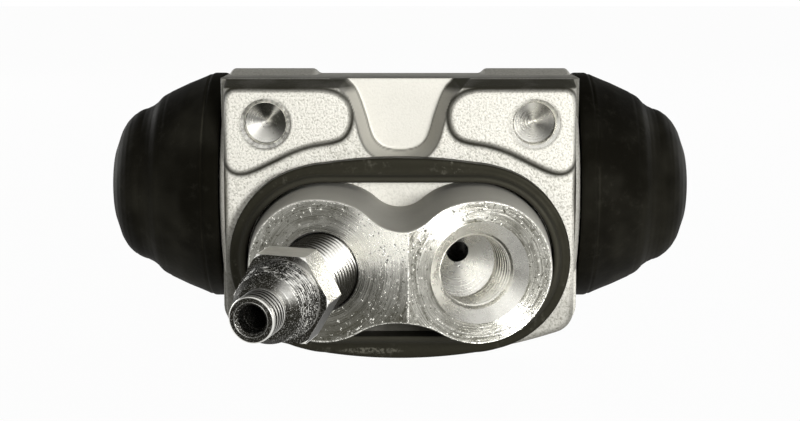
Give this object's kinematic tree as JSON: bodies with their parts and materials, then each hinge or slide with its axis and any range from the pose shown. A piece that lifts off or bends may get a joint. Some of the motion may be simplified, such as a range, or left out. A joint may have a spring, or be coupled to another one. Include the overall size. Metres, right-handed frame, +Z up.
{
  "type": "wheel cylinder",
  "caption": "Drum-brake wheel cylinder: cast body with opposed slotted pistons in rubber boots, mounting pads, bleed screw and fluid inlet on a sealed figure-eight boss.",
  "frame": {"origin": "midway between the two mounting holes, on the face of the mounting pads", "axes": "+X along the bore towards the inlet side, +Z up from the boss towards the mounting holes, the pads face -Y"},
  "size_m": [0.0838, 0.0702, 0.0396],
  "materials": {
    "cast_aluminium": "fine-grained die casting with bright machined faces",
    "seal_rubber": "satin moulded rubber",
    "plated_steel": "turned and plated",
    "turned_aluminium": "turned",
    "cup_rubber": "smooth",
    "pressed_steel": "pressed and plated",
    "spring_steel": "drawn wire",
    "boot_rubber": "matt moulded rubber"
  },
  "bodies": {
    "cylinder": {"cylinder_body": "cast_aluminium", "backplate_seal": "seal_rubber", "left_dust_boot": "boot_rubber", "right_dust_boot": "boot_rubber", "cup_spring": "spring_steel"},
    "left_piston_set": {"left_piston": "turned_aluminium", "left_cup_seal": "cup_rubber", "left_spring_seat": "pressed_steel"},
    "right_piston_set": {"right_piston": "turned_aluminium", "right_cup_seal": "cup_rubber", "right_spring_seat": "pressed_steel"},
    "bleeder": {"bleed_screw": "plated_steel"}
  },
  "joints": [
    {"name": "left_piston_slide", "type": "slide", "parent": "cylinder", "child": "left_piston_set", "axis": [-1, 0, 0], "range_m": [0, 0.008], "deforming": ["left_dust_boot", "cup_spring"]},
    {"name": "right_piston_slide", "type": "slide", "parent": "cylinder", "child": "right_piston_set", "axis": [1, 0, 0], "range_m": [0, 0.008], "deforming": ["right_dust_boot", "cup_spring"]},
    {"name": "bleed_screw_turn", "type": "hinge", "parent": "cylinder", "child": "bleeder", "pos_m": [-0.0105, -0.0115, -0.0185], "axis": [-0.2917, -0.954, -0.0698], "range_deg": [0, 360]}
  ]
}
